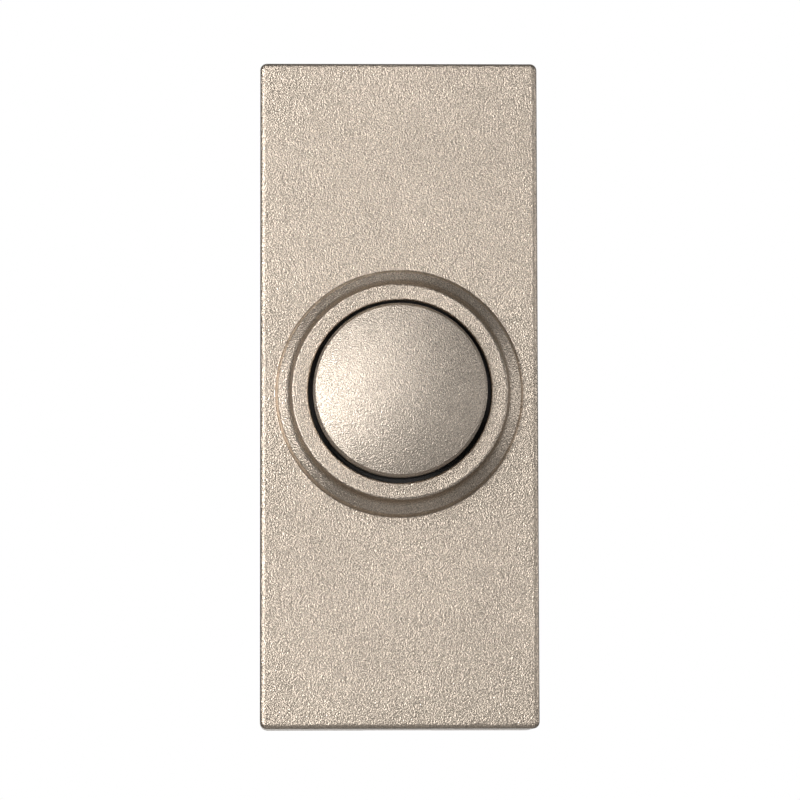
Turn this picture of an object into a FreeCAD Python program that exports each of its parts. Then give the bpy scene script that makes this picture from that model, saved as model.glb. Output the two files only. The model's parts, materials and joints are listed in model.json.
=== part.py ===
"""Wired bell push: a moulded rectangular cover with a raised round collar, a domed round button in it, and
the wall base with the two contacts behind.

Frame: millimetres, +Z up, the wall is the plane Y = 0 and the front faces -Y. The origin is on the wall,
behind the middle of the button. A "level" is a distance out from the wall: level 15 is the plane Y = -15.
"""
import FreeCAD, Part
import math
import os
import Sketcher

Vector = FreeCAD.Vector
doc = FreeCAD.newDocument("bell_push")

# Driving dimensions, in millimetres unless the name says otherwise
SIZES = {
    # cover plate
    "plate_width": 31.75,
    "plate_height": 76.2,
    "plate_depth": 15.0,  # wall to the front of the plate, where its width and height are measured
    "cover_lift": 0.4,  # wall to the cover's rear edge
    "cover_wall": 1.6,  # at the front, and the same further back within the draft
    "cover_front": 2.0,
    "cover_draft_degrees": 0.5,
    "plan_corner": 0.75,
    "edge_round": 0.6,
    "cavity_corner": 0.5,
    # raised collar round the button, from the hole outwards
    "collar_height": 3.2,
    "hole_round": 0.2,
    "rim_width": 1.87,
    "rim_round": 0.28,
    "cove_drop": 1.33,
    "cove_lean": 0.28,
    "cove_round": 1.2,
    "ledge_width": 1.3,
    "ledge_drop": 0.87,
    "ledge_round": 0.25,
    "foot_lean": 0.3,
    "foot_round": 0.15,
    "lip_thickness": 2.5,  # what holds the button's flange in
    # inside of the cover
    "boss_radius": 2.3,
    "pilot_radius": 0.8,
    "pilot_depth": 3.6,
    "grip_rib_height": 0.25,
    "grip_rib_width": 1.2,
    "grip_rib_reach": 5.6,
    "grip_rib_place": 22.0,
    "stop_rib_place": 31.0,
    "stop_rib_width": 1.6,
    "stop_rib_depth": 1.8,
    "stop_rib_gap": 0.1,
    "pry_slot_width": 8.0,
    "pry_slot_height": 1.2,
    # button
    "button_radius": 9.9,
    "button_gap": 0.5,
    "button_proud": 2.4,  # the button's edge above the collar's rim
    "dome_rise": 1.5,
    "button_round": 0.35,
    "button_wall": 1.5,
    "flange_reach": 1.7,
    "flange_thickness": 1.2,
    "flange_gap": 0.25,
    "flange_rest_gap": 0.1,
    "press_travel": 1.5,
    "spring_pad_radius": 4.6,
    "spring_pad_drop": 2.0,  # edge of the button to the spring's pad
    "stem_boss_radius": 3.1,
    "stem_boss_length": 2.1,
    "stem_socket_depth": 2.9,
    # plunger
    "stem_radius": 1.5,
    "stem_collar_radius": 2.4,
    "stem_collar_length": 1.2,
    "stem_chamfer": 0.5,
    "stem_rest_gap": 0.25,  # end of the plunger to the leaf
    # keeper
    "keeper_level": 7.4,  # wall to the keeper's rear face
    "keeper_thickness": 1.6,
    "keeper_side_gap": 2.2,
    "keeper_height": 35.0,
    "keeper_corner": 2.0,
    "keeper_screw_inset": 3.0,
    "stop_ring_wall": 1.7,
    "stop_ring_inset": 0.3,
    "stop_ring_slot": 4.0,
    "stop_end_gap": 0.3,
    "guide_gap": 0.25,
    "spring_seat_height": 1.5,
    "spring_seat_gap": 0.35,
    # return spring
    "coil_radius": 3.7,
    "wire_radius": 0.25,
    "coil_turns": 4.0,
    # wall base
    "base_gap": 0.35,
    "base_floor": 2.0,
    "base_rim_wall": 1.3,
    "base_rim_height": 3.5,
    "base_corner": 0.8,
    "screw_end_margin": 6.15,
    "screw_hole_radius": 2.1,
    "screw_seat_radius": 3.5,
    "screw_seat_height": 1.0,
    "wire_slot_width": 6.0,
    "wire_slot_height": 16.0,
    "wire_slot_place": 8.0,
    "wire_slot_round": 1.5,
    "wire_slot_lip": 1.0,
    "land_start": 13.5,
    "land_length": 12.6,
    "land_width": 10.0,
    "land_corner": 0.6,
    "cheek_thickness": 1.0,
    "cheek_gap": 0.3,
    "cheek_rise": 1.2,
    # terminals
    "terminal_place": 22.5,
    "nut_side": 5.0,
    "nut_thickness": 1.6,
    "nut_recess": 0.3,
    "nut_gap": 0.1,
    "thread_radius": 1.25,
    "thread_gap": 0.15,
    "clamp_side": 6.0,
    "clamp_thickness": 0.8,
    "clamp_corner": 0.5,
    "clamp_groove_radius": 0.4,
    "terminal_head_radius": 2.6,
    "terminal_head_height": 1.6,
    "head_slot_width": 0.7,
    "head_slot_depth": 0.8,
    "head_chamfer": 0.3,
    # contacts
    "leaf_thickness": 0.3,
    "leaf_width": 4.6,
    "leaf_tail_width": 6.4,
    "leaf_tail_end": 17.0,
    "leaf_end_round": 1.9,
    "leaf_shoulder_round": 1.15,
    "contact_place": 5.5,  # below the middle of the button
    "contact_margin": 2.3,
    "contact_radius": 1.3,
    "contact_height": 0.6,
    "contact_chamfer": 0.25,
    "contact_stem_radius": 0.7,
    "contact_break": 0.9,  # open distance between the two contacts
    "contact_closed_radius": 1.0,  # the end that is closed over in front of the leaf
    "contact_closed_height": 0.3,
    "strip_thickness": 0.5,
    "strip_width": 5.0,
    "strip_ramp_length": 2.5,
    "strip_ramp_start": 0.3,
    "land_end_margin": 0.6,
    "rivet_place": 15.6,
    "rivet_radius": 0.9,
    "rivet_head_radius": 1.5,
    "rivet_head_height": 0.5,
    "rivet_chamfer": 0.25,
    "rivet_tail_recess": 0.8,
    # keeper screws
    "tapping_radius": 1.0,
    "tapping_length": 5.0,
    "tapping_head_radius": 1.8,
    "tapping_head_height": 1.2,
    "tapping_slot_width": 0.5,
    "tapping_slot_depth": 0.6,
}


def make_sheet():
    """The spreadsheet of driving dimensions, one alias for each."""
    sheet = doc.addObject("Spreadsheet::Sheet", "dims")
    for row, (name, size) in enumerate(SIZES.items(), start=1):
        sheet.set(f"A{row}", str(size))
        sheet.setAlias(f"A{row}", name)
    doc.recompute()
    return sheet


dims = make_sheet()


def formula(text):
    """An expression on the sheet: every driving dimension named in the text is read from its own cell."""
    words = []
    for word in text.replace("(", " ( ").replace(")", " ) ").split():
        words.append(f"dims.{word}" if word in SIZES else word)
    return "(" + " ".join(words) + ")"


# Levels and places that several pieces share
RIM_LEVEL = formula("plate_depth + collar_height")
HOLE_RADIUS = formula("button_radius + button_gap")
FLANGE_RADIUS = formula("button_radius + flange_reach")
LIP_LEVEL = formula("plate_depth + collar_height - lip_thickness")
FLANGE_FRONT = formula("plate_depth + collar_height - lip_thickness - flange_rest_gap")
FLANGE_BACK = f"({FLANGE_FRONT} - dims.flange_thickness)"
BUTTON_EDGE = f"({RIM_LEVEL} + dims.button_proud)"
SPRING_PAD = f"({BUTTON_EDGE} - dims.spring_pad_drop)"
STEM_BOSS_END = f"({SPRING_PAD} - dims.stem_boss_length)"
CAVITY_TOP = formula("plate_depth - cover_front")
CAVITY_HALF_WIDTH = formula("plate_width / 2 - cover_wall")
CAVITY_HALF_HEIGHT = formula("plate_height / 2 - cover_wall")
KEEPER_FRONT = formula("keeper_level + keeper_thickness")
KEEPER_HALF_WIDTH = f"({CAVITY_HALF_WIDTH} - dims.keeper_side_gap)"
KEEPER_SCREW_X = f"({KEEPER_HALF_WIDTH} - dims.keeper_screw_inset)"
KEEPER_SCREW_Z = formula("keeper_height / 2 - keeper_screw_inset")
STOP_RING_TOP = f"({FLANGE_BACK} - dims.press_travel - dims.stop_end_gap)"
BASE_HALF_WIDTH = f"({CAVITY_HALF_WIDTH} - dims.base_gap)"
BASE_HALF_HEIGHT = f"({CAVITY_HALF_HEIGHT} - dims.base_gap)"
RIM_TOP = formula("base_floor + base_rim_height")
WALL_SCREW_Z = f"({BASE_HALF_HEIGHT} - dims.screw_end_margin)"
LAND_LEVEL = formula("base_floor + strip_thickness + 2 * contact_height + contact_break")
LEAF_FRONT = f"({LAND_LEVEL} + dims.leaf_thickness)"
STRIP_FRONT = f"({LAND_LEVEL} + dims.strip_thickness)"
KEEPER_SCREWS = ((f"-{KEEPER_SCREW_X}", KEEPER_SCREW_Z), (KEEPER_SCREW_X, f"-{KEEPER_SCREW_Z}"))
ROOT = "0.3"  # how far a rib or boss is sunk into what it grows from
OVERCUT = "1"  # how far a cut runs on past the face that it opens
LEAST_CUT = 1e-4  # cubic millimetres, below which a cut has missed its piece


def number(expression):
    """The present value of an expression."""
    return float(dims.evalExpression(expression))


# Sketch planes. On "front" the sketch is seen from the front: x to the right, y up, normal out from the wall.
# On "profile" y is the level, for pieces turned about the button's axis. On "side" x is the level, y is up.
PLANES = {
    "front": ("XZ_Plane", FreeCAD.Rotation()),
    "profile": ("XY_Plane", FreeCAD.Rotation(Vector(1, 0, 0), 180)),
    "side": ("YZ_Plane", FreeCAD.Rotation(Vector(0, 1, 0), 180)),
}


def new_body(label):
    """One piece of the product, as a body of its own."""
    body = doc.addObject("PartDesign::Body", label)
    body.Label = label
    return body


def put(body, x="0", level="0", z="0"):
    """Puts a piece that is drawn about its own seat at its place, from the sheet."""
    body.setExpression("Placement.Base.x", x)
    body.setExpression("Placement.Base.y", f"-({level})")
    body.setExpression("Placement.Base.z", z)


def sketch_on(body, name, plane="front", level=None):
    """A sketch on one of the body's own planes, a level out from it where one is given."""
    role, turn = PLANES[plane]
    sketch = body.newObject("Sketcher::SketchObject", name)
    origin_plane = next(f for f in body.Origin.OriginFeatures if f.Role == role)
    sketch.AttachmentSupport = [(origin_plane, "")]
    sketch.MapMode = "FlatFace"
    sketch.AttachmentOffset = FreeCAD.Placement(Vector(), turn)
    if level is not None:
        sketch.setExpression("AttachmentOffset.Base.z", level)
    return sketch


def bind_all(sketch, rules):
    """Adds constraints. A rule is the constraint's own words, then the expression of its size or None."""
    for words, expression in rules:
        if expression is None:
            sketch.addConstraint(Sketcher.Constraint(*words))
        else:
            index = sketch.addConstraint(Sketcher.Constraint(*words, number(expression)))
            sketch.setExpression(f"Constraints[{index}]", expression)


def point_rules(item, end, x, y):
    """Holds one point of a sketch at x, y from the sketch's origin."""
    return [
        (("DistanceX", -1, 1, item, end), x),
        (("DistanceY", -1, 1, item, end), y),
    ]


def circle(sketch, radius, x="0", y="0"):
    """A circle about x, y."""
    centre = Vector(number(x), number(y), 0)
    item = sketch.addGeometry(Part.Circle(centre, Vector(0, 0, 1), number(radius)), False)
    bind_all(sketch, point_rules(item, 3, x, y) + [(("Radius", item), radius)])


def outline(sketch, corners, arcs=()):
    """A closed outline through corners (x, y) or (x, y, radius). The sides numbered in arcs are arcs about a
    centre on the sketch's upright axis."""
    count = len(corners)
    places = [Vector(number(corner[0]), number(corner[1]), 0) for corner in corners]
    radii = [number(corner[2]) if len(corner) > 2 else 0.0 for corner in corners]
    side_starts = []
    side_ends = []
    inward = []
    for i, spot in enumerate(places):
        back = (places[i - 1] - spot).normalize()
        ahead = (places[(i + 1) % count] - spot).normalize()
        half = back.getAngle(ahead) / 2
        trim = radii[i] / math.tan(half)
        side_ends.append(spot + back * trim)
        side_starts.append(spot + ahead * trim)
        inward.append((back + ahead).normalize() * (radii[i] / math.sin(half)) if radii[i] else Vector())
    sides = []
    for i in range(count):
        start = side_starts[i]
        end = side_ends[(i + 1) % count]
        if i in arcs:
            rise = (end.x**2 - start.x**2 + end.y**2 - start.y**2) / (2 * (end.y - start.y))
            centre = Vector(0, rise, 0)
            middle = centre + (start + end - centre * 2).normalize() * start.distanceToPoint(centre)
            side = Part.Arc(start, middle, end)
        else:
            side = Part.LineSegment(start, end)
        sides.append(sketch.addGeometry(side, False))

    def touches(item, spot):
        return 1 if sketch.getPoint(item, 1).isEqual(spot, 1e-6) else 2

    rules = []
    for i, corner in enumerate(corners):
        before = sides[i - 1]
        after = sides[i]
        before_end = touches(before, side_ends[i])
        after_start = touches(after, side_starts[i])
        if not radii[i]:
            rules.append((("Coincident", before, before_end, after, after_start), None))
            rules += point_rules(after, after_start, corner[0], corner[1])
            continue
        centre = places[i] + inward[i]
        middle = centre - (centre - places[i]).normalize() * radii[i]
        bend = sketch.addGeometry(Part.Arc(side_ends[i], middle, side_starts[i]), False)
        tip = sketch.addGeometry(Part.Point(places[i]), True)
        bend_start = touches(bend, side_ends[i])
        rules += point_rules(tip, 1, corner[0], corner[1])
        rules.append((("PointOnObject", tip, 1, before), None))
        rules.append((("PointOnObject", tip, 1, after), None))
        rules.append((("Tangent", before, before_end, bend, bend_start), None))
        rules.append((("Tangent", bend, 3 - bend_start, after, after_start), None))
        rules.append((("Radius", bend), corner[2]))
    for i in arcs:
        rules.append((("DistanceX", -1, 1, sides[i], 3), "0"))
    bind_all(sketch, rules)


def rectangle(sketch, left, right, bottom, top, radius=None):
    """An upright rectangle between four places, with rounded corners where a radius is given."""
    corners = [(left, bottom), (right, bottom), (right, top), (left, top)]
    if radius is not None:
        corners = [(x, y, radius) for x, y in corners]
    outline(sketch, corners)


def centred(sketch, half_width, half_height, radius=None):
    """A rectangle about the sketch's origin."""
    rectangle(sketch, f"-{half_width}", half_width, f"-{half_height}", half_height, radius)


def extrude(kind, body, name, sketch, length, inward=False, taper=None):
    """A pad or pocket of the sketch. A pad grows out from the wall unless inward, and a pocket cuts away from
    the wall unless inward."""
    feature = body.newObject(f"PartDesign::{kind}", name)
    feature.Profile = sketch
    feature.setExpression("Length", length)
    feature.Reversed = inward if kind == "Pad" else not inward
    if taper is not None:
        feature.setExpression("TaperAngle", taper)
    return feature


def turn(kind, body, name, sketch, axis="V_Axis", degrees=360):
    """A revolution or groove of a profile, all the way about the sketch's upright axis unless told otherwise."""
    feature = body.newObject(f"PartDesign::{kind}", name)
    feature.Profile = sketch
    feature.ReferenceAxis = (sketch, [axis])
    feature.Angle = degrees
    return feature


def round_edges(body, name, radius, keep):
    """Rounds those edges of the body so far that pass the test."""
    doc.recompute()
    base = body.Tip
    picked = [f"Edge{index}" for index, edge in enumerate(base.Shape.Edges, start=1) if keep(edge)]
    if not picked:
        raise RuntimeError(f"{body.Label}: {name} finds no edge")
    feature = body.newObject("PartDesign::Fillet", name)
    feature.Base = (base, picked)
    feature.setExpression("Radius", radius)
    return feature


def at_level(edge, level):
    """Does the edge lie wholly at one level?"""
    return all(abs(-vertex.Y - level) < 1e-4 for vertex in edge.Vertexes)


def is_circle(edge, radius):
    """Is the edge a full circle of this radius?"""
    return edge.isClosed() and abs(edge.Length - 2 * math.pi * radius) < 1e-3


def front_cover():
    """The moulded cover: a drafted box open at the back, the collar and hole for the button, and what is
    moulded on its inside."""
    body = new_body("front_cover")
    rear = "dims.cover_lift"
    draft = "dims.cover_draft_degrees"
    plate = sketch_on(body, "plate_outline", level="dims.plate_depth")
    centred(plate, formula("plate_width / 2"), formula("plate_height / 2"), "dims.plan_corner")
    extrude("Pad", body, "plate", plate, formula("plate_depth - cover_lift"), inward=True, taper=draft)
    front_level = number("dims.plate_depth")
    round_edges(body, "front_edge", "dims.edge_round", lambda edge: at_level(edge, front_level))

    cavity = sketch_on(body, "cavity_outline", level=CAVITY_TOP)
    centred(cavity, CAVITY_HALF_WIDTH, CAVITY_HALF_HEIGHT, "dims.cavity_corner")
    extrude("Pocket", body, "cavity", cavity, f"({CAVITY_TOP} - {rear})", inward=True, taper=draft)

    rim_edge = f"({HOLE_RADIUS} + dims.rim_width)"
    cove_corner = (f"({rim_edge} + dims.cove_lean)", f"({RIM_LEVEL} - dims.cove_drop)")
    ledge_corner = (f"({cove_corner[0]} + dims.ledge_width)", f"({cove_corner[1]} - dims.ledge_drop)")
    foot = f"({ledge_corner[0]} + dims.foot_lean)"
    collar = sketch_on(body, "collar_profile", "profile")
    outline(collar, [
        ("0", formula("plate_depth - cover_front / 2")),
        (f"({foot} + 2 * dims.foot_round)", formula("plate_depth - cover_front / 2")),
        (f"({foot} + 2 * dims.foot_round)", "dims.plate_depth"),
        (foot, "dims.plate_depth", "dims.foot_round"),
        (*ledge_corner, "dims.ledge_round"),
        (*cove_corner, "dims.cove_round"),
        (rim_edge, RIM_LEVEL, "dims.rim_round"),
        ("0", RIM_LEVEL),
    ])
    turn("Revolution", body, "collar", collar)

    hole = sketch_on(body, "button_hole_profile", "profile")
    outline(hole, [
        ("0", f"({CAVITY_TOP} - {OVERCUT})"),
        (f"({FLANGE_RADIUS} + dims.flange_gap)", f"({CAVITY_TOP} - {OVERCUT})"),
        (f"({FLANGE_RADIUS} + dims.flange_gap)", LIP_LEVEL),
        (HOLE_RADIUS, LIP_LEVEL),
        (HOLE_RADIUS, f"({RIM_LEVEL} + {OVERCUT})"),
        ("0", f"({RIM_LEVEL} + {OVERCUT})"),
    ])
    turn("Groove", body, "button_hole", hole)
    rim_level = number(RIM_LEVEL)
    hole_radius = number(HOLE_RADIUS)
    round_edges(
        body, "hole_edge", "dims.hole_round",
        lambda edge: at_level(edge, rim_level) and is_circle(edge, hole_radius),
    )

    bosses = sketch_on(body, "screw_boss_outlines", level=KEEPER_FRONT)
    pilots = sketch_on(body, "pilot_hole_outlines", level=KEEPER_FRONT)
    for x, z in KEEPER_SCREWS:
        circle(bosses, "dims.boss_radius", x, z)
        circle(pilots, "dims.pilot_radius", x, z)
    extrude("Pad", body, "screw_bosses", bosses, f"({CAVITY_TOP} - {KEEPER_FRONT} + {ROOT})")
    extrude("Pocket", body, "pilot_holes", pilots, "dims.pilot_depth")

    grips = sketch_on(body, "grip_rib_outlines", level=rear)
    half = formula("grip_rib_width / 2")
    inner = f"({CAVITY_HALF_WIDTH} - dims.grip_rib_height)"
    outer = f"({CAVITY_HALF_WIDTH} + {ROOT})"
    for z in ("dims.grip_rib_place", "-dims.grip_rib_place"):
        rectangle(grips, inner, outer, f"({z} - {half})", f"({z} + {half})")
        rectangle(grips, f"-{outer}", f"-{inner}", f"({z} - {half})", f"({z} + {half})")
    low = f"({CAVITY_HALF_HEIGHT} - dims.grip_rib_height)"
    high = f"({CAVITY_HALF_HEIGHT} + {ROOT})"
    beside_slot = formula("pry_slot_width / 2 + grip_rib_width")
    for x in (beside_slot, f"(-{beside_slot})"):
        rectangle(grips, f"({x} - {half})", f"({x} + {half})", low, high)
        rectangle(grips, f"({x} - {half})", f"({x} + {half})", f"-{high}", f"-{low}")
    extrude("Pad", body, "grip_ribs", grips, formula("grip_rib_reach - cover_lift"))

    stops = sketch_on(body, "stop_rib_outlines", level=f"({RIM_TOP} + dims.stop_rib_gap)")
    half = formula("stop_rib_width / 2")
    inner = f"({CAVITY_HALF_WIDTH} - dims.stop_rib_depth)"
    for z in ("dims.stop_rib_place", "-dims.stop_rib_place"):
        rectangle(stops, inner, outer, f"({z} - {half})", f"({z} + {half})")
        rectangle(stops, f"-{outer}", f"-{inner}", f"({z} - {half})", f"({z} + {half})")
    extrude("Pad", body, "stop_ribs", stops, f"({CAVITY_TOP} - {RIM_TOP} - dims.stop_rib_gap + {ROOT})")

    slot = sketch_on(body, "pry_slot_outline", level=rear)
    half = formula("pry_slot_width / 2")
    below = f"-({CAVITY_HALF_HEIGHT} + dims.cover_wall + {OVERCUT})"
    rectangle(slot, f"-{half}", half, below, f"-({CAVITY_HALF_HEIGHT} - {ROOT})")
    extrude("Pocket", body, "pry_slot", slot, "dims.pry_slot_height")


def push_button():
    """The domed button, hollow behind, with the flange that the collar's lip holds in and a socket for the
    plunger."""
    body = new_body("push_button")
    apex = f"({BUTTON_EDGE} + dims.dome_rise)"
    inside = formula("button_radius - button_wall")
    cap = sketch_on(body, "cap_profile", "profile")
    outline(cap, [
        ("0", apex),
        ("dims.button_radius", BUTTON_EDGE),
        ("dims.button_radius", FLANGE_FRONT),
        (FLANGE_RADIUS, FLANGE_FRONT),
        (FLANGE_RADIUS, FLANGE_BACK),
        (inside, FLANGE_BACK),
        (inside, f"({BUTTON_EDGE} - dims.button_wall)"),
        ("0", f"({apex} - dims.button_wall)"),
    ], arcs=(0, 6))
    turn("Revolution", body, "cap", cap)
    edge_level = number(BUTTON_EDGE)
    edge_radius = number("dims.button_radius")
    round_edges(
        body, "cap_edge", "dims.button_round",
        lambda edge: at_level(edge, edge_level) and is_circle(edge, edge_radius),
    )

    boss = sketch_on(body, "boss_profile", "profile")
    outline(boss, [
        ("0", f"({BUTTON_EDGE} + {ROOT})"),
        ("0", STEM_BOSS_END),
        ("dims.stem_boss_radius", STEM_BOSS_END),
        ("dims.stem_boss_radius", SPRING_PAD),
        ("dims.spring_pad_radius", SPRING_PAD),
        ("dims.spring_pad_radius", f"({BUTTON_EDGE} + {ROOT})"),
    ])
    turn("Revolution", body, "boss", boss)
    socket = sketch_on(body, "socket_outline", level=STEM_BOSS_END)
    circle(socket, "dims.stem_radius")
    extrude("Pocket", body, "stem_socket", socket, "dims.stem_socket_depth")


def plunger():
    """The insulating stem pressed into the button, which bends the moving contact when the button goes in."""
    body = new_body("plunger")
    tip = f"({LEAF_FRONT} + dims.stem_rest_gap)"
    profile = sketch_on(body, "stem_profile", "profile")
    outline(profile, [
        ("0", f"({STEM_BOSS_END} + dims.stem_socket_depth)"),
        ("0", tip),
        (formula("stem_radius - stem_chamfer"), tip),
        ("dims.stem_radius", f"({tip} + dims.stem_chamfer)"),
        ("dims.stem_radius", f"({STEM_BOSS_END} - dims.stem_collar_length)"),
        ("dims.stem_collar_radius", f"({STEM_BOSS_END} - dims.stem_collar_length)"),
        ("dims.stem_collar_radius", STEM_BOSS_END),
        ("dims.stem_radius", STEM_BOSS_END),
        ("dims.stem_radius", f"({STEM_BOSS_END} + dims.stem_socket_depth)"),
    ])
    turn("Revolution", body, "stem", profile)


def button_keeper():
    """The bridge screwed behind the button: it carries the spring, guides the plunger, stops the button."""
    body = new_body("button_keeper")
    plate = sketch_on(body, "keeper_outline", level="dims.keeper_level")
    centred(plate, KEEPER_HALF_WIDTH, formula("keeper_height / 2"), "dims.keeper_corner")
    extrude("Pad", body, "keeper_plate", plate, "dims.keeper_thickness")

    ring_outer = f"({FLANGE_RADIUS} - dims.stop_ring_inset)"
    ring = sketch_on(body, "stop_ring_outline", level=f"({KEEPER_FRONT} - {ROOT})")
    circle(ring, ring_outer)
    circle(ring, f"({ring_outer} - dims.stop_ring_wall)")
    extrude("Pad", body, "stop_ring", ring, f"({STOP_RING_TOP} - {KEEPER_FRONT} + {ROOT})")
    notch = sketch_on(body, "ring_slot_outline", level=KEEPER_FRONT)
    half = formula("stop_ring_slot / 2")
    near = f"({ring_outer} - dims.stop_ring_wall - {OVERCUT})"
    rectangle(notch, f"-{half}", half, near, f"({ring_outer} + {OVERCUT})")
    depth = f"({STOP_RING_TOP} - {KEEPER_FRONT} + {OVERCUT})"
    first_slot = extrude("Pocket", body, "ring_slot", notch, depth)
    slots = body.newObject("PartDesign::PolarPattern", "ring_slots")
    slots.Originals = [first_slot]
    slots.Axis = (notch, ["N_Axis"])
    slots.Angle = 360
    slots.Occurrences = 4
    body.Tip = slots

    seat = sketch_on(body, "spring_seat_outline", level=f"({KEEPER_FRONT} - {ROOT})")
    circle(seat, formula("coil_radius - wire_radius - spring_seat_gap"))
    extrude("Pad", body, "spring_seat", seat, f"(dims.spring_seat_height + {ROOT})")
    bore = sketch_on(body, "guide_outline", level="dims.keeper_level")
    circle(bore, formula("stem_radius + guide_gap"))
    through = f"(dims.keeper_thickness + dims.spring_seat_height + {OVERCUT})"
    extrude("Pocket", body, "plunger_guide", bore, through)
    holes = sketch_on(body, "screw_hole_outlines", level="dims.keeper_level")
    for x, z in KEEPER_SCREWS:
        circle(holes, formula("tapping_radius + thread_gap"), x, z)
    extrude("Pocket", body, "screw_holes", holes, f"(dims.keeper_thickness + {OVERCUT})")


def return_spring():
    """The compression spring between keeper and button, with its ends ground flat. Each half turn of wire is
    half a ring about an axis that leans as far as the wire climbs, so that the halves meet end to end."""
    body = new_body("return_spring")
    pitch = f"(({SPRING_PAD} - {KEEPER_FRONT}) / dims.coil_turns)"
    halves = []
    for name, side, quarters in (("first_half", "", 1), ("second_half", "-", 3)):
        half = sketch_on(body, f"{name}_wire", "profile")
        middle = f"({KEEPER_FRONT} + {quarters} * {pitch} / 4)"
        circle(half, "dims.wire_radius", f"{side}dims.coil_radius", f"({middle} - {pitch} / 4)")
        lean = f"({side}{pitch} / 2)"
        far = f"({middle} + 2 * dims.coil_radius)"
        axis_line = Part.LineSegment(Vector(0, number(middle), 0), Vector(number(lean), number(far), 0))
        axis = half.addGeometry(axis_line, True)
        bind_all(half, point_rules(axis, 1, "0", middle) + point_rules(axis, 2, lean, far))
        halves.append(turn("Revolution", body, name, half, "Axis0", 180))
    turns = body.newObject("PartDesign::LinearPattern", "turns")
    turns.Originals = halves
    turns.Direction = (halves[0].Profile[0], ["V_Axis"])
    turns.setExpression("Occurrences", "dims.coil_turns")
    turns.setExpression("Length", f"({SPRING_PAD} - {KEEPER_FRONT} - {pitch})")
    body.Tip = turns
    for name, level, inward in (("seat_end", KEEPER_FRONT, True), ("pad_end", SPRING_PAD, False)):
        grind = sketch_on(body, f"{name}_outline", level=level)
        circle(grind, f"(dims.coil_radius + dims.wire_radius + {OVERCUT})")
        extrude("Pocket", body, name, grind, f"(dims.wire_radius + {OVERCUT})", inward=inward)


def wall_base():
    """The base screwed to the wall: a floor with a rim, two raised lands for the terminals, the holes for the
    wall screws and the wires, and recesses behind for the nuts and rivets."""
    body = new_body("wall_base")
    floor = sketch_on(body, "floor_outline", level="0")
    centred(floor, BASE_HALF_WIDTH, BASE_HALF_HEIGHT, "dims.base_corner")
    extrude("Pad", body, "floor", floor, RIM_TOP)
    tray = sketch_on(body, "tray_outline", level="dims.base_floor")
    centred(
        tray, f"({BASE_HALF_WIDTH} - dims.base_rim_wall)", f"({BASE_HALF_HEIGHT} - dims.base_rim_wall)",
        "dims.base_corner",
    )
    extrude("Pocket", body, "tray", tray, "dims.base_rim_height")

    lands = sketch_on(body, "land_outlines", level=f"(dims.base_floor - {ROOT})")
    half = formula("land_width / 2")
    far = formula("land_start + land_length")
    rectangle(lands, f"-{half}", half, "dims.land_start", far, "dims.land_corner")
    rectangle(lands, f"-{half}", half, f"-{far}", "-dims.land_start", "dims.land_corner")
    extrude("Pad", body, "lands", lands, f"({LAND_LEVEL} - dims.base_floor + {ROOT})")
    cheeks = sketch_on(body, "cheek_outlines", level=f"({LAND_LEVEL} - {ROOT})")
    inner = formula("clamp_side / 2 + cheek_gap")
    outer = formula("clamp_side / 2 + cheek_gap + cheek_thickness")
    for z in ("dims.terminal_place", "-dims.terminal_place"):
        ends = f"({z} - dims.clamp_side / 2)", f"({z} + dims.clamp_side / 2)"
        rectangle(cheeks, inner, outer, *ends)
        rectangle(cheeks, f"-{outer}", f"-{inner}", *ends)
    extrude("Pad", body, "cheeks", cheeks, f"(dims.strip_thickness + dims.cheek_rise + {ROOT})")

    seats = sketch_on(body, "screw_seat_outlines", level=f"(dims.base_floor - {ROOT})")
    holes = sketch_on(body, "wall_screw_outlines", level="0")
    for z in (WALL_SCREW_Z, f"-{WALL_SCREW_Z}"):
        circle(seats, "dims.screw_seat_radius", "0", z)
        circle(holes, "dims.screw_hole_radius", "0", z)
    extrude("Pad", body, "screw_seats", seats, f"(dims.screw_seat_height + {ROOT})")
    through = f"(dims.base_floor + dims.screw_seat_height + {OVERCUT})"
    extrude("Pocket", body, "wall_screw_holes", holes, through)

    left = formula("wire_slot_place - wire_slot_width / 2")
    right = formula("wire_slot_place + wire_slot_width / 2")
    half = formula("wire_slot_height / 2")
    lip = sketch_on(body, "wire_lip_outline", level=f"(dims.base_floor - {ROOT})")
    rectangle(
        lip, f"({left} - dims.wire_slot_lip)", f"({right} + dims.wire_slot_lip)",
        f"(-{half} - dims.wire_slot_lip)", f"({half} + dims.wire_slot_lip)",
        formula("wire_slot_round + wire_slot_lip"),
    )
    extrude("Pad", body, "wire_lip", lip, f"(dims.wire_slot_lip + {ROOT})")
    slot = sketch_on(body, "wire_slot_outline", level="0")
    rectangle(slot, left, right, f"-{half}", half, "dims.wire_slot_round")
    extrude("Pocket", body, "wire_slot", slot, f"(dims.base_floor + dims.wire_slot_lip + {OVERCUT})")

    nuts = sketch_on(body, "nut_pocket_outlines", level="0")
    bores = sketch_on(body, "terminal_hole_outlines", level="0")
    rivets = sketch_on(body, "rivet_hole_outlines", level="0")
    recesses = sketch_on(body, "rivet_recess_outlines", level="0")
    side = formula("nut_side / 2 + nut_gap")
    for sign in ("", "-"):
        middle = f"({sign}dims.terminal_place)"
        rectangle(nuts, f"-{side}", side, f"({middle} - {side})", f"({middle} + {side})")
        circle(bores, formula("thread_radius + thread_gap"), "0", middle)
        circle(rivets, "dims.rivet_radius", "0", f"({sign}dims.rivet_place)")
        circle(recesses, formula("rivet_head_radius + thread_gap"), "0", f"({sign}dims.rivet_place)")
    extrude("Pocket", body, "nut_pockets", nuts, formula("nut_thickness + nut_recess"))
    extrude("Pocket", body, "terminal_holes", bores, f"({LAND_LEVEL} + {OVERCUT})")
    extrude("Pocket", body, "rivet_holes", rivets, f"({LAND_LEVEL} + {OVERCUT})")
    extrude("Pocket", body, "rivet_recesses", recesses, "dims.rivet_tail_recess")


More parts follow.
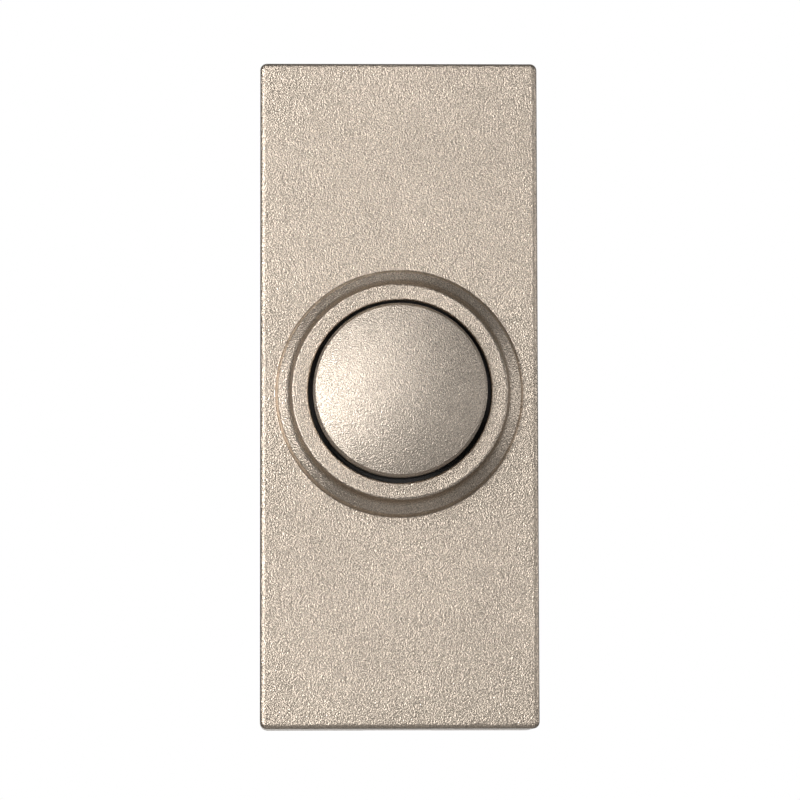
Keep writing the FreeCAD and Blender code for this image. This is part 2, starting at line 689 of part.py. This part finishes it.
def moving_contact_leaf():
    """The springy leaf on the upper land, which reaches down past the plunger to the moving contact."""
    body = new_body("moving_contact_leaf")
    end = formula("0 - contact_place - contact_margin")
    half = formula("leaf_width / 2")
    tail = formula("leaf_tail_width / 2")
    top = formula("land_start + land_length - land_end_margin")
    leaf = sketch_on(body, "leaf_outline", level=LAND_LEVEL)
    outline(leaf, [
        (f"-{half}", end, "dims.leaf_end_round"),
        (half, end, "dims.leaf_end_round"),
        (half, "dims.land_start", "dims.leaf_shoulder_round"),
        (tail, "dims.leaf_tail_end", "dims.leaf_shoulder_round"),
        (tail, top),
        (f"-{tail}", top),
        (f"-{tail}", "dims.leaf_tail_end", "dims.leaf_shoulder_round"),
        (f"-{half}", "dims.land_start", "dims.leaf_shoulder_round"),
    ])
    circle(leaf, "dims.contact_stem_radius", "0", "-dims.contact_place")
    circle(leaf, "dims.rivet_radius", "0", "dims.rivet_place")
    circle(leaf, formula("thread_radius + thread_gap"), "0", "dims.terminal_place")
    extrude("Pad", body, "leaf", leaf, "dims.leaf_thickness")


def fixed_contact_strip():
    """The strip that lies on the lower land and steps down to the floor under the moving contact."""
    body = new_body("fixed_contact_strip")
    floor = "dims.base_floor"
    thick = "dims.strip_thickness"
    tail = formula("0 - land_start - land_length + land_end_margin")
    ramp_top = formula("strip_ramp_start - land_start")
    ramp_foot = formula("strip_ramp_start + strip_ramp_length - land_start")
    end = formula("contact_margin - contact_place")
    lean = formula("strip_thickness / 2")
    side = sketch_on(body, "strip_side", "side")
    outline(side, [
        (LAND_LEVEL, tail),
        (LAND_LEVEL, ramp_top),
        (floor, ramp_foot),
        (floor, end),
        (f"({floor} + {thick})", end),
        (f"({floor} + {thick})", f"({ramp_foot} + {lean})"),
        (f"({LAND_LEVEL} + {thick})", f"({ramp_top} + {lean})"),
        (f"({LAND_LEVEL} + {thick})", tail),
    ])
    strip = extrude("Pad", body, "strip", side, "dims.strip_width")
    strip.SideType = "Symmetric"
    holes = sketch_on(body, "strip_hole_outlines", level="0")
    circle(holes, "dims.contact_stem_radius", "0", "-dims.contact_place")
    circle(holes, "dims.rivet_radius", "0", "-dims.rivet_place")
    circle(holes, formula("thread_radius + thread_gap"), "0", "-dims.terminal_place")
    extrude("Pocket", body, "strip_holes", holes, f"({STRIP_FRONT} + {OVERCUT})")


def turned_piece(label, corners, x="0", level="0", z="0"):
    """A small piece turned about its own axis, drawn from its own seat and then placed."""
    body = new_body(label)
    outline(sketch_on(body, "section", "profile"), corners)
    turn("Revolution", body, "turned", body.Group[-1])
    put(body, x, level, z)
    return body


def contact_tips():
    """The two riveted contacts: the moving one is behind the leaf's end, and the fixed one faces it on the
    strip."""
    head = "dims.contact_radius"
    face = formula("contact_radius - contact_chamfer")
    stem = "dims.contact_stem_radius"
    closed = "dims.contact_closed_radius"
    turned_piece("moving_contact_tip", [
        ("0", "-dims.contact_height"),
        (face, "-dims.contact_height"),
        (head, formula("contact_chamfer - contact_height")),
        (head, "0"),
        (stem, "0"),
        (stem, "dims.leaf_thickness"),
        (closed, "dims.leaf_thickness"),
        (closed, formula("leaf_thickness + contact_closed_height")),
        ("0", formula("leaf_thickness + contact_closed_height")),
    ], level=LAND_LEVEL, z="-dims.contact_place")
    turned_piece("fixed_contact_tip", [
        ("0", "0"),
        (stem, "0"),
        (stem, "dims.strip_thickness"),
        (head, "dims.strip_thickness"),
        (head, formula("strip_thickness + contact_height - contact_chamfer")),
        (face, formula("strip_thickness + contact_height")),
        ("0", formula("strip_thickness + contact_height")),
    ], level="dims.base_floor", z="-dims.contact_place")


def rivets():
    """The two rivets that hold leaf and strip on their lands, closed over in recesses behind the base."""
    head = "dims.rivet_head_radius"
    shank = "dims.rivet_radius"
    recess = "dims.rivet_tail_recess"
    for label, front, z in (
        ("leaf_rivet", LEAF_FRONT, "dims.rivet_place"),
        ("strip_rivet", STRIP_FRONT, "-dims.rivet_place"),
    ):
        turned_piece(label, [
            ("0", f"({recess} - dims.rivet_head_height)"),
            (head, f"({recess} - dims.rivet_head_height)"),
            (head, recess),
            (shank, recess),
            (shank, front),
            (head, front),
            (head, f"({front} + dims.rivet_head_height - dims.rivet_chamfer)"),
            (formula("rivet_head_radius - rivet_chamfer"), f"({front} + dims.rivet_head_height)"),
            ("0", f"({front} + dims.rivet_head_height)"),
        ], z=z)


def slotted_screw(label, head_radius, head_height, shank, slot_width, slot_depth, x, level, z):
    """A cheese-headed screw drawn on its own seat, with its head outwards. The shank is a list of (radius,
    length)."""
    corners = []
    depth = "0"
    for radius, length in shank:
        corners.append((radius, depth))
        depth = f"({depth} - {length})"
        corners.append((radius, depth))
    corners.append(("0", depth))
    corners.append(("0", head_height))
    corners.append((f"({head_radius} - dims.head_chamfer)", head_height))
    corners.append((head_radius, f"({head_height} - dims.head_chamfer)"))
    corners.append((head_radius, "0"))
    body = turned_piece(label, corners, x, level, z)
    slot = sketch_on(body, "slot_outline", level=head_height)
    centred(slot, f"({head_radius} + {OVERCUT})", f"({slot_width} / 2)")
    extrude("Pocket", body, "driver_slot", slot, slot_depth, inward=True)
    return body


def wire_clamp(label, level, z):
    """A square clamp washer, grooved underneath for a wire on each side of the screw."""
    body = new_body(label)
    plate = sketch_on(body, "clamp_outline", level="0")
    half = formula("clamp_side / 2")
    centred(plate, half, half, "dims.clamp_corner")
    circle(plate, formula("thread_radius + thread_gap"))
    extrude("Pad", body, "clamp", plate, "dims.clamp_thickness")
    grooves = sketch_on(body, "groove_section", "profile")
    aside = formula("(thread_radius + clamp_side / 2) / 2")
    for x in (aside, f"-{aside}"):
        circle(grooves, "dims.clamp_groove_radius", x, "0")
    cut = extrude("Pocket", body, "wire_grooves", grooves, f"(dims.clamp_side + 2 * {OVERCUT})")
    cut.SideType = "Symmetric"
    put(body, "0", level, z)


def terminal_nut(label, z):
    """The square nut held in the pocket behind a land."""
    body = new_body(label)
    nut = sketch_on(body, "nut_outline", level="0")
    half = formula("nut_side / 2")
    centred(nut, half, half)
    circle(nut, "dims.thread_radius")
    extrude("Pad", body, "nut", nut, "dims.nut_thickness")
    put(body, "0", "dims.nut_recess", z)


def terminals():
    """Nut, clamp and screw at each end: the upper set on the leaf and the lower set on the strip."""
    length = f"({LEAF_FRONT} + dims.clamp_thickness - dims.nut_recess)"
    for end, front, z in (
        ("upper", LEAF_FRONT, "dims.terminal_place"),
        ("lower", STRIP_FRONT, "-dims.terminal_place"),
    ):
        terminal_nut(f"terminal_nut_{end}", z)
        wire_clamp(f"wire_clamp_{end}", front, z)
        slotted_screw(
            f"terminal_screw_{end}", "dims.terminal_head_radius", "dims.terminal_head_height",
            [("dims.thread_radius", length)], "dims.head_slot_width", "dims.head_slot_depth",
            "0", f"({front} + dims.clamp_thickness)", z,
        )


def keeper_screws():
    """The two self-tapping screws that hold the keeper to the cover's bosses, driven from behind."""
    for end, (x, z) in zip(("upper", "lower"), KEEPER_SCREWS):
        body = slotted_screw(
            f"keeper_screw_{end}", "dims.tapping_head_radius", "dims.tapping_head_height",
            [("dims.tapping_radius", "dims.keeper_thickness"),
             ("dims.pilot_radius", formula("tapping_length - keeper_thickness"))],
            "dims.tapping_slot_width", "dims.tapping_slot_depth", x, "dims.keeper_level", z,
        )
        body.Placement.Rotation = FreeCAD.Rotation(Vector(0, 0, 1), 180)


def check_features():
    """Stops at any object that failed, and at any cut that removes nothing."""
    for item in doc.Objects:
        if "Invalid" in item.State or "Error" in item.State:
            raise RuntimeError(f"{item.Label} failed: {item.State}")
        if item.TypeId in ("PartDesign::Pocket", "PartDesign::Groove"):
            if item.BaseFeature.Shape.Volume - item.Shape.Volume < LEAST_CUT:
                raise RuntimeError(f"{item.Label} cuts nothing")


def export_parts():
    """Writes every piece to its own STEP file."""
    os.makedirs("parts", exist_ok=True)
    for body in doc.Objects:
        if body.TypeId != "PartDesign::Body":
            continue
        shape = body.Shape
        if shape.isNull() or not shape.isValid() or len(shape.Solids) != 1:
            raise RuntimeError(f"{body.Label} isn't one valid solid")
        shape.exportStep(os.path.join("parts", f"{body.Label}.step"))


wall_base()
fixed_contact_strip()
moving_contact_leaf()
contact_tips()
rivets()
terminals()
front_cover()
button_keeper()
keeper_screws()
push_button()
plunger()
return_spring()
doc.recompute()
check_features()
export_parts()
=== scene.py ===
"""Looks of the wired bell push: a satin-nickel coat on the cover and the button, the plastic,
brass, bronze and steel pieces behind them, soft studio light and the photograph's camera.

Metres, in the frame of the solids: +Z is up, the wall is the plane Y = 0 and the front faces -Y.
A level is a height above the wall, so it lies at Y = -level.
"""
import bmesh
import bpy
import json
import math
from mathutils import Matrix, Vector


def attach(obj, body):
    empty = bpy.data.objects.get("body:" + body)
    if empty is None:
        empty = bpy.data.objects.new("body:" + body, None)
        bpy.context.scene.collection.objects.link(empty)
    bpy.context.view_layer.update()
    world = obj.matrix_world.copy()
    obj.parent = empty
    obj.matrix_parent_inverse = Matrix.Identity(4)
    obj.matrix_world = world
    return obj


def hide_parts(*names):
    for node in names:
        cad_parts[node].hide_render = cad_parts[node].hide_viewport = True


MM = 0.001

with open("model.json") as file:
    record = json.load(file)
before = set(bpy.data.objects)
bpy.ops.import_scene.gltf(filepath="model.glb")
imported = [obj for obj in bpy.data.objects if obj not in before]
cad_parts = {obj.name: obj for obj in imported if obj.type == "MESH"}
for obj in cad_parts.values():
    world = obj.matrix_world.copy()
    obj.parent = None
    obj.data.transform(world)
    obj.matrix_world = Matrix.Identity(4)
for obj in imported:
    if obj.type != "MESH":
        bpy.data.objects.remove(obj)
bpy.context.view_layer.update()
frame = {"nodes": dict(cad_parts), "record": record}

# Camera, from the outline of the plate and the circles of the collar in the photograph
CAMERA_PLACE = Vector((-11.28, -482.17, -40.42)) * MM
CAMERA_YAW = math.radians(1.393)
CAMERA_PITCH = math.radians(4.856)
CAMERA_ROLL = math.radians(-0.122)
CAMERA_LENS_MM = 185.02
CAMERA_SENSOR_MM = 36.0
CAMERA_CLIP = (0.01, 50.0)

# Lamps, all at one distance and aimed at one point: degrees round from straight ahead (right
# positive), degrees up, width, height and watts
LAMP_AIM = Vector((0, -15, 0)) * MM
LAMP_DISTANCE = 1.2
LAMPS = {
    "front_left": (-25, 0, 0.40, 0.55, 4.8),
    "side_left": (-54, 2, 0.40, 0.50, 5.6),
    "top": (-10, 40, 0.50, 0.40, 2.9),
    "low": (0, -40, 0.50, 0.40, 0.5),
    "front_right": (32, -2, 0.40, 0.50, 1.1),
    "right_edge": (80, 4, 0.40, 0.50, 2.1),
}

FLOOR_LEVEL = -1.4
FLOOR_SIZE = 8.0
FLOOR_COLOUR = (0.82, 0.81, 0.80)
FLOOR_ROUGHNESS = 0.9
FLOOR_PATCH = 1 / 3

# The background is white. Mirrored rays see it where the +Y part of their direction is past
# these values, between which it fades into the room.
WHITE = (1, 1, 1, 1)
BACKGROUND_EDGE = (0.8, 0.95)
ROOM_LIGHT = 0.16

# Painted shade: a dark plastic colour, with no metal, painted where shade falls in the gap round
# the
# button and inside the cover: inside these radii, or half width and half height, and behind these
# levels
COVER_PAINTED_SHADE = [
    ("round", 10.45 * MM, 17.9 * MM),
    ("round", 12.0 * MM, 15.8 * MM),
    ("box", (14.9 * MM, 37.1 * MM), 13.4 * MM),
]
BUTTON_PAINTED_SHADE = [("round", 12.0 * MM, 17.6 * MM)]
PAINTED_SHADE_COLOUR = (0.075, 0.071, 0.066)
PAINTED_SHADE_ROUGHNESS = 0.55

# Painted reflection: faint dark reflections painted into the coat of the plate as darker places:
# the middle, and the reach across and up
PAINTED_REFLECTION_PLACES = [
    ((1.9 * MM, 28.3 * MM), (3.2 * MM, 5.0 * MM)),
    ((9.6 * MM, -26.0 * MM), (3.6 * MM, 5.4 * MM)),
]
PAINTED_REFLECTION_DARKENING = 0.07

# Soft clouds in the coat, and its flakes, whose size is a share of the grain's
CLOUD_SIZE = (0.011, 0.011, 0.018)
FLAKE_SIZE = 0.85

# The values between which most of a noise lies
NOISE_RANGE = (0.3, 0.7)

# How a noise changes a colour: values of the noise, with the share of the colour at each
COAT_TONES = ((0.30, 0.94), (0.55, 1.0), (0.75, 1.03))
PAINTED_SHADE_TONES = ((0.3, 1.0), (0.7, 1.15))
PLAIN_TONES = ((0.3, 0.86), (0.7, 1.0))
FLOOR_TONES = ((0.3, 0.98), (0.7, 1.0))

# Plain finishes: colour, metallic, roughness, size and depth of the grain in millimetres, and
# how far the grain is drawn out along each axis
EVEN = (1, 1, 1)
PLAIN_FINISHES = {
    "base_plastic": ((0.03, 0.03, 0.032), 0.0, 0.5, 0.15, 0.01, EVEN),
    "keeper_plastic": ((0.35, 0.35, 0.34), 0.0, 0.5, 0.15, 0.01, EVEN),
    "plunger_plastic": ((0.75, 0.74, 0.70), 0.0, 0.35, 0.3, 0.004, EVEN),
    "contact_brass": ((0.75, 0.56, 0.28), 1.0, 0.32, 0.08, 0.002, (1, 1, 12)),
    "leaf_bronze": ((0.72, 0.45, 0.26), 1.0, 0.28, 0.08, 0.002, (1, 1, 14)),
    "terminal_brass": ((0.78, 0.60, 0.30), 1.0, 0.25, 0.1, 0.002, EVEN),
    "contact_silver": ((0.82, 0.81, 0.78), 1.0, 0.30, 0.12, 0.002, EVEN),
    "zinc_steel": ((0.62, 0.63, 0.65), 1.0, 0.30, 0.15, 0.003, EVEN),
    "spring_steel": ((0.55, 0.55, 0.56), 1.0, 0.25, 0.05, 0.001, EVEN),
}
PLAIN_PATCH = 12  # grains across a patch of one tone
GLOSS_RANGE = (0.85, 1.15)  # shares of the roughness

# Sockets of a Mix node set to colours. Its other kinds have sockets of the same names.
MIX_FIRST = 6
MIX_SECOND = 7
MIX_RESULT = 2

# The button: radii, and levels above the wall. Its outside stays within the solid's.
BUTTON_RADIUS = 9.85 * MM
BUTTON_BEVEL = 0.28 * MM
BUTTON_BEVEL_HEIGHT = 0.38 * MM
BUTTON_EDGE = 20.6 * MM
BUTTON_APEX = 22.1 * MM
BUTTON_BORE = 8.4 * MM
BUTTON_WALL = 1.5 * MM
FLANGE_RADIUS = 11.6 * MM
FLANGE_BACK = 14.4 * MM
FLANGE_FRONT = 15.6 * MM
PAD_RADIUS = 4.6 * MM
PAD_LEVEL = 18.6 * MM
STEM_BOSS_RADIUS = 3.1 * MM
STEM_BOSS_END = 16.5 * MM
SOCKET_RADIUS = 1.5 * MM
SOCKET_END = 19.4 * MM
DOME_STEPS = 40
TURN_STEPS = 180
SHARP_ANGLE = math.radians(22)


class Nodes:
    """A node tree under construction. A node's inputs, by name or number, take the output of
    another node or a plain value."""

    def __init__(self, tree):
        self.tree = tree
        tree.nodes.clear()

    def feed(self, node, inputs):
        for key, value in inputs.items():
            if isinstance(value, bpy.types.NodeSocket):
                self.tree.links.new(value, node.inputs[key])
            else:
                node.inputs[key].default_value = value

    def add(self, kind, inputs=None, **settings):
        node = self.tree.nodes.new(kind)
        for name, value in settings.items():
            setattr(node, name, value)
        self.feed(node, inputs or {})
        return node

    def math(self, operation, *values):
        """The result of a sum on one or two values."""
        return self.add("ShaderNodeMath", dict(enumerate(values)), operation=operation).outputs[0]

    def spread(self, value, to_low, to_high, low=0.0, high=1.0):
        """A value moved from one range to another, and kept within it."""
        return self.add("ShaderNodeMapRange", {
            "Value": value,
            "From Min": low,
            "From Max": high,
            "To Min": to_low,
            "To Max": to_high,
        }).outputs["Result"]


class Material(Nodes):
    """A node material under construction."""

    def __init__(self, name):
        self.material = bpy.data.materials.new(name)
        self.material.use_nodes = True
        super().__init__(self.material.node_tree)
        self.shader = self.add("ShaderNodeBsdfPrincipled")
        self.add("ShaderNodeOutputMaterial", {"Surface": self.shader.outputs["BSDF"]})
        self.place = self.add("ShaderNodeTexCoord").outputs["Object"]

    def finish(self, **inputs):
        """The material, once the shader's sockets are fed: base_color goes to Base Color."""
        self.feed(self.shader, {
            name.replace("_", " ").title(): value for name, value in inputs.items()
        })
        return self.material

    def moved(self, **mapping):
        """The object's own coordinates, through a Mapping node."""
        return self.add("ShaderNodeMapping", {
            "Vector": self.place,
            **{name.title(): value for name, value in mapping.items()},
        }).outputs["Vector"]

    def length(self, vector):
        return self.add(
            "ShaderNodeVectorMath", {"Vector": vector}, operation="LENGTH").outputs["Value"]

    def noise(self, sizes, detail):
        """Noise whose grains have a size along each axis, in metres."""
        return self.add("ShaderNodeTexNoise", {
            "Vector": self.moved(scale=[1 / size for size in sizes]),
            "Scale": 1.0,
            "Detail": detail,
            "Roughness": 0.5,
        }).outputs["Fac"]

    def tones(self, noise, base, stops):
        """A colour that a noise makes darker or lighter."""
        node = self.add("ShaderNodeValToRGB", {"Fac": noise})
        elements = node.color_ramp.elements
        while len(elements) < len(stops):
            elements.new(1.0)
        for element, (position, share) in zip(elements, stops):
            element.position = position
            element.color = (*[c * share for c in base], 1.0)
        return node.outputs["Color"]

    def bump(self, height, depth):
        """A surface pushed out by up to a depth."""
        return self.add("ShaderNodeBump", {
            "Height": height,
            "Strength": 1.0,
            "Distance": depth,
        }).outputs["Normal"]


def within(m, shape, reach, level):
    """1 behind a level and nearer to the middle than a radius, or than a half width and half
    height; 0 elsewhere."""
    split = m.add("ShaderNodeSeparateXYZ", {"Vector": m.place}).outputs
    if shape == "round":
        across = m.add("ShaderNodeCombineXYZ", {"X": split["X"], "Z": split["Z"]})
        sides = [(m.length(across.outputs["Vector"]), reach)]
    else:
        sides = [(m.math("ABSOLUTE", split[axis]), half) for axis, half in zip("XZ", reach)]
    inside = m.math("GREATER_THAN", split["Y"], -level)
    for distance, limit in sides:
        inside = m.math("MULTIPLY", inside, m.math("LESS_THAN", distance, limit))
    return inside


def painted_reflection_place(m, middle, reach):
    """1 at the middle of a soft round place on the front where a dark reflection is painted,
    falling to 0 at its edge.
    """
    place = m.moved(
        scale=(1 / reach[0], 0, 1 / reach[1]),
        location=(-middle[0] / reach[0], 0, -middle[1] / reach[1]))
    return m.spread(m.length(place), 1.0, 0.0)


def satin_nickel(name, base, roughness, grain, grain_depth, fleck, painted_shade, painted_reflections=()):
    """A satin metallic coat: a fine crisp grain of bumps and flakes, over soft cloudy patches.
    Painted
    shade: a dark plastic colour in the gap and inside. Painted reflection: faint darker places."""
    m = Material(name)
    fine = m.noise([grain * MM] * 3, detail=1.0)
    flakes = m.noise([grain * MM * FLAKE_SIZE] * 3, detail=0.0)
    clouds = m.noise(CLOUD_SIZE, detail=3.0)
    level = m.spread(flakes, 1 - fleck, 1 + fleck, *NOISE_RANGE)
    # Painted reflection: the coat is darker at these places
    for middle, reach in painted_reflections:
        darker = m.spread(painted_reflection_place(m, middle, reach), 1.0, 1 - PAINTED_REFLECTION_DARKENING)
        level = m.math("MULTIPLY", level, darker)
    coat = m.add("ShaderNodeVectorMath", {
        "Vector": m.tones(clouds, base, COAT_TONES),
        "Scale": level,
    }, operation="SCALE").outputs["Vector"]
    # Painted shade: in these places the coat gives way to a dark plastic colour
    inside = within(m, *painted_shade[0])
    for region in painted_shade[1:]:
        inside = m.math("MAXIMUM", inside, within(m, *region))
    paint = m.add("ShaderNodeMix", {
        "Factor": inside,
        MIX_FIRST: coat,
        MIX_SECOND: m.tones(clouds, PAINTED_SHADE_COLOUR, PAINTED_SHADE_TONES),
    }, data_type="RGBA").outputs[MIX_RESULT]
    return m.finish(
        base_color=paint,
        metallic=m.spread(inside, 1.0, 0.0),
        roughness=m.spread(inside, roughness, PAINTED_SHADE_ROUGHNESS),
        normal=m.bump(fine, grain_depth * MM))


def plain_finish(name, base, metallic, roughness, grain, grain_depth, drawn):
    """Moulded plastic or rolled, turned or drawn metal: a grain, with a little variation of tone
    and gloss."""
    m = Material(name)
    fine = m.noise([grain * MM * share for share in drawn], detail=3.0)
    patches = m.noise([grain * MM * PLAIN_PATCH * share for share in drawn], detail=2.0)
    smooth, rough = (min(1.0, roughness * share) for share in GLOSS_RANGE)
    return m.finish(
        base_color=m.tones(patches, base, PLAIN_TONES),
        metallic=metallic,
        roughness=m.spread(fine, smooth, rough, *NOISE_RANGE),
        normal=m.bump(fine, grain_depth * MM))


def make_materials():
    """One material for each slot of the record. Sizes of the grain are in millimetres."""
    made = {
        "satin_nickel_cover": satin_nickel(
            "satin_nickel_cover", (0.57, 0.485, 0.40), roughness=0.28,
            grain=0.148, grain_depth=0.078, fleck=0.32, painted_shade=COVER_PAINTED_SHADE, painted_reflections=PAINTED_REFLECTION_PLACES),
        "satin_nickel_button": satin_nickel(
            "satin_nickel_button", (0.58, 0.50, 0.42), roughness=0.30,
            grain=0.145, grain_depth=0.078, fleck=0.26, painted_shade=BUTTON_PAINTED_SHADE),
    }
    for name, finish in PLAIN_FINISHES.items():
        made[name] = plain_finish(name, *finish)
    return made


def dress_nodes(materials):
    """Each solid takes the material of its slot in the record."""
    for part in frame["record"]["subparts"]:
        for slot in frame["nodes"][part["node"]].material_slots:
            slot.material = materials[part["material_slot"]]


def link_object(name, data):
    made = bpy.data.objects.new(name, data)
    bpy.context.scene.collection.objects.link(made)
    return made


def bowl(edge_radius, edge_level, apex_level, inner_radius=0.0):
    """Points of a shallow dome of one radius, from inner_radius out to its edge."""
    rise = apex_level - edge_level
    sphere = (edge_radius ** 2 + rise ** 2) / (2 * rise)
    points = []
    for step in range(DOME_STEPS + 1):
        radius = inner_radius + (edge_radius - inner_radius) * step / DOME_STEPS
        points.append((radius, apex_level - sphere + math.sqrt(sphere ** 2 - radius ** 2)))
    return points


def lathe(name, profile):
    """A closed turned piece about the Y axis, from (radius, level) points that start and end on
    the axis."""
    angles = [2 * math.pi * step / TURN_STEPS for step in range(TURN_STEPS)]
    shape = bmesh.new()
    rings = []
    for radius, level in profile:
        places = [(radius * math.cos(a), -level, radius * math.sin(a)) for a in angles]
        if radius == 0:
            places = [(0, -level, 0)]
        rings.append([shape.verts.new(place) for place in places])
    for near, far in zip(rings, rings[1:]):
        for step in range(TURN_STEPS):
            after = (step + 1) % TURN_STEPS
            if len(near) == 1:
                corners = (near[0], far[step], far[after])
            elif len(far) == 1:
                corners = (near[step], far[0], near[after])
            else:
                corners = (near[step], far[step], far[after], near[after])
            shape.faces.new(corners)
    bmesh.ops.recalc_face_normals(shape, faces=shape.faces)
    for face in shape.faces:
        face.smooth = True
    mesh = bpy.data.meshes.new(name)
    shape.to_mesh(mesh)
    shape.free()
    mesh.set_sharp_from_angle(angle=SHARP_ANGLE)
    return link_object(name, mesh)


def make_button(material):
    """The button's cap, with the crisp bevel round its dome, its flange, its spring pad and its
    socket for the plunger."""
    outside = bowl(BUTTON_RADIUS - BUTTON_BEVEL, BUTTON_EDGE, BUTTON_APEX)
    inside = bowl(BUTTON_BORE, BUTTON_EDGE - BUTTON_WALL, BUTTON_APEX - BUTTON_WALL, PAD_RADIUS)
    cap = lathe("button_cap", outside + [
        (BUTTON_RADIUS, BUTTON_EDGE - BUTTON_BEVEL_HEIGHT),
        (BUTTON_RADIUS, FLANGE_FRONT),
        (FLANGE_RADIUS, FLANGE_FRONT),
        (FLANGE_RADIUS, FLANGE_BACK),
        (BUTTON_BORE, FLANGE_BACK),
    ] + inside[::-1] + [
        (PAD_RADIUS, PAD_LEVEL),
        (STEM_BOSS_RADIUS, PAD_LEVEL),
        (STEM_BOSS_RADIUS, STEM_BOSS_END),
        (SOCKET_RADIUS, STEM_BOSS_END),
        (SOCKET_RADIUS, SOCKET_END),
        (0, SOCKET_END),
    ])
    cap.data.materials.append(material)
    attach(cap, "button")
    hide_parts("push_button")


def make_camera():
    """The photograph's camera."""
    ahead = Vector((
        math.sin(CAMERA_YAW) * math.cos(CAMERA_PITCH),
        math.cos(CAMERA_YAW) * math.cos(CAMERA_PITCH),
        math.sin(CAMERA_PITCH),
    ))
    level_right = Vector((math.cos(CAMERA_YAW), -math.sin(CAMERA_YAW), 0))
    level_up = level_right.cross(ahead)
    right = level_right * math.cos(CAMERA_ROLL) + level_up * math.sin(CAMERA_ROLL)
    up = right.cross(ahead)
    data = bpy.data.cameras.new("photo_camera")
    data.sensor_fit = "HORIZONTAL"
    data.sensor_width = CAMERA_SENSOR_MM
    data.lens = CAMERA_LENS_MM
    data.clip_start, data.clip_end = CAMERA_CLIP
    camera = link_object("photo_camera", data)
    turn = Matrix((right, up, -ahead)).transposed()
    camera.matrix_world = Matrix.Translation(CAMERA_PLACE) @ turn.to_4x4()
    bpy.context.scene.camera = camera


def make_lamps():
    """Large soft lamps, each aimed at the front of the object."""
    for name, (degrees_round, degrees_up, width, height, watts) in LAMPS.items():
        data = bpy.data.lights.new(name, "AREA")
        data.shape = "RECTANGLE"
        data.size = width
        data.size_y = height
        data.energy = watts
        sideways = math.radians(degrees_round)
        up = math.radians(degrees_up)
        towards = Vector((
            math.sin(sideways) * math.cos(up),
            -math.cos(sideways) * math.cos(up),
            math.sin(up),
        ))
        lamp = link_object(name, data)
        lamp.location = LAMP_AIM + towards * LAMP_DISTANCE
        lamp.rotation_euler = towards.to_track_quat("Z", "Y").to_euler()
        lamp.visible_camera = False


def make_floor():
    """A plain pale floor, well below the object because it hangs on a wall."""
    mesh = bpy.data.meshes.new("floor")
    half = FLOOR_SIZE / 2
    corners = [(-half, -half, 0), (half, -half, 0), (half, half, 0), (-half, half, 0)]
    mesh.from_pydata(corners, [], [(0, 1, 2, 3)])
    floor = link_object("floor", mesh)
    floor.location.z = FLOOR_LEVEL
    m = Material("pale_floor")
    patches = m.noise([FLOOR_PATCH] * 3, detail=2.0)
    mesh.materials.append(m.finish(
        base_color=m.tones(patches, FLOOR_COLOUR, FLOOR_TONES),
        roughness=FLOOR_ROUGHNESS))


def make_world():
    """A dim even room, with a plain white background behind the object. The camera and mirrored
    rays see the background; it gives no more light than the room does."""
    world = bpy.data.worlds.new("studio")
    bpy.context.scene.world = world
    world.use_nodes = True
    w = Nodes(world.node_tree)
    ray = w.add("ShaderNodeLightPath").outputs
    mirrored = w.math("MAXIMUM", ray["Is Glossy Ray"], ray["Is Transmission Ray"])
    direction = w.add("ShaderNodeTexCoord").outputs["Generated"]
    split = w.add("ShaderNodeSeparateXYZ", {"Vector": direction}).outputs
    behind = w.spread(split["Y"], 0.0, 1.0, *BACKGROUND_EDGE)
    shown = w.math("MULTIPLY", mirrored, behind)
    white = w.math("MAXIMUM", ray["Is Camera Ray"], shown)
    strength = w.spread(white, ROOM_LIGHT, 1.0)
    background = w.add("ShaderNodeBackground", {"Color": WHITE, "Strength": strength})
    w.add("ShaderNodeOutputWorld", {"Surface": background.outputs["Background"]})


for imported in list(bpy.data.materials):
    bpy.data.materials.remove(imported)
finishes = make_materials()
dress_nodes(finishes)
make_button(finishes["satin_nickel_button"])
make_camera()
make_lamps()
make_floor()
make_world()
bpy.context.scene.view_settings.view_transform = "Standard"
